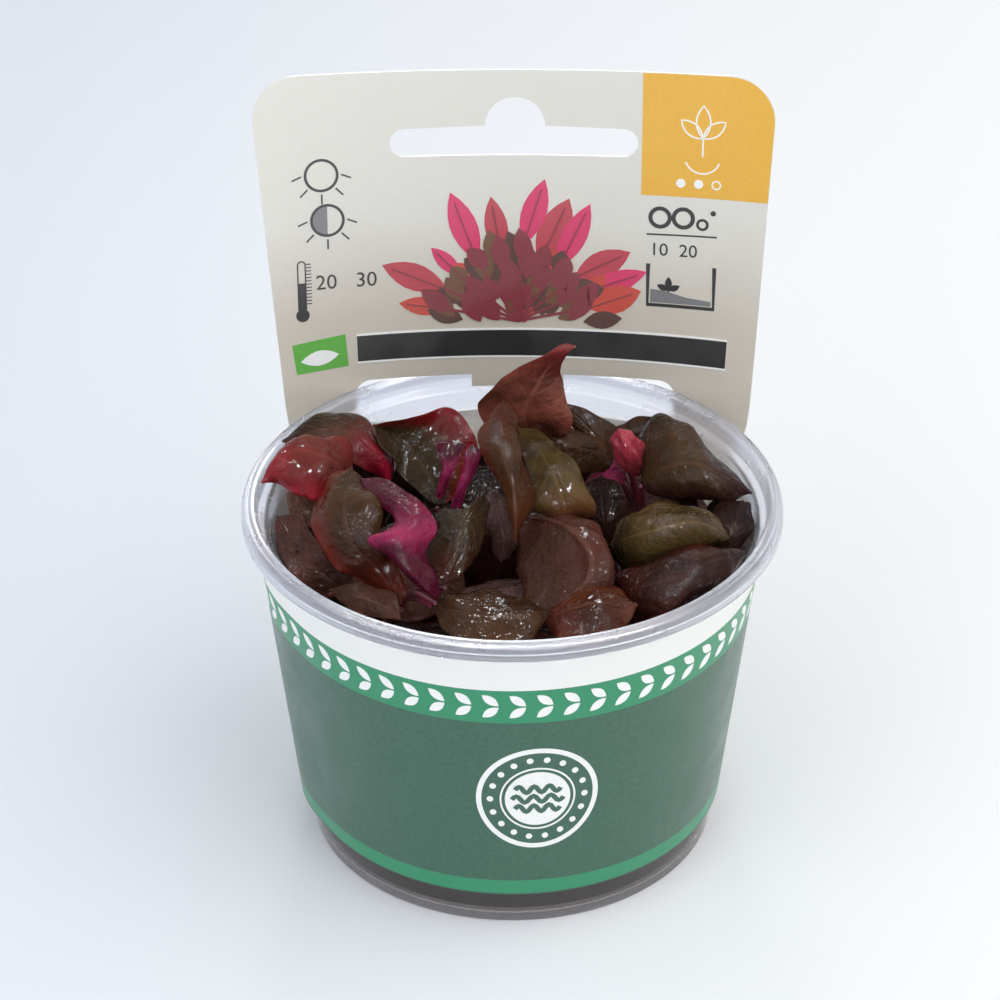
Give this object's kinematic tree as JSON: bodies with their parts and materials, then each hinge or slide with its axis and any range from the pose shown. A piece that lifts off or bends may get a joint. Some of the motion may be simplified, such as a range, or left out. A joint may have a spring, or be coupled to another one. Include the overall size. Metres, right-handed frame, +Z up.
{
  "type": "potted aquarium plant",
  "caption": "Tuft of curled wet red and olive leaves in a clear tapered cup, wrapped by a printed card that rises behind it as a header with a hang slot.",
  "frame": {"origin": "middle of the cup's flat base, on the surface that it stands on", "axes": "+Z up, -Y towards the front of the cup, +X to the right; the header card stands at +Y"},
  "size_m": [0.095, 0.095, 0.1255],
  "materials": {
    "clear_cup": "clear smooth thin plastic",
    "printed_card": "smooth printed sheet, satin gloss",
    "growing_medium": "set jelly, dark and moist",
    "stem": "moist plant stem",
    "leaf_olive": "wet leaf",
    "leaf_red": "wet leaf",
    "leaf_green": "wet leaf",
    "leaf_magenta": "wet leaf",
    "leaf_dark": "wet leaf"
  },
  "bodies": {
    "root": {"cup": "clear_cup", "card": "printed_card", "growing_medium": "growing_medium", "stem_01": "stem", "stem_02": "stem", "stem_03": "stem", "stem_04": "stem", "stem_05": "stem", "stem_06": "stem", "stem_07": "stem", "leaf_01": "leaf_red", "leaf_02": "leaf_olive", "leaf_03": "leaf_olive", "leaf_04": "leaf_magenta", "leaf_05": "leaf_green", "leaf_06": "leaf_magenta", "leaf_07": "leaf_magenta", "leaf_08": "leaf_green", "leaf_09": "leaf_red", "leaf_10": "leaf_olive", "leaf_11": "leaf_dark", "leaf_12": "leaf_green", "leaf_13": "leaf_red", "leaf_14": "leaf_olive", "leaf_15": "leaf_red", "leaf_16": "leaf_red", "leaf_17": "leaf_green", "leaf_18": "leaf_red", "leaf_19": "leaf_olive", "leaf_20": "leaf_dark", "leaf_21": "leaf_olive", "leaf_22": "leaf_olive", "leaf_23": "leaf_magenta", "leaf_24": "leaf_dark", "leaf_25": "leaf_dark", "leaf_26": "leaf_red", "leaf_27": "leaf_red", "leaf_28": "leaf_dark", "leaf_29": "leaf_dark", "leaf_30": "leaf_dark", "leaf_31": "leaf_dark", "leaf_32": "leaf_dark", "leaf_33": "leaf_dark", "leaf_34": "leaf_dark", "leaf_35": "leaf_dark", "leaf_36": "leaf_dark", "leaf_37": "leaf_dark", "leaf_38": "leaf_dark", "leaf_39": "leaf_dark", "leaf_40": "leaf_dark", "leaf_41": "leaf_dark", "bud_crimson": "leaf_magenta"}
  },
  "joints": []
}
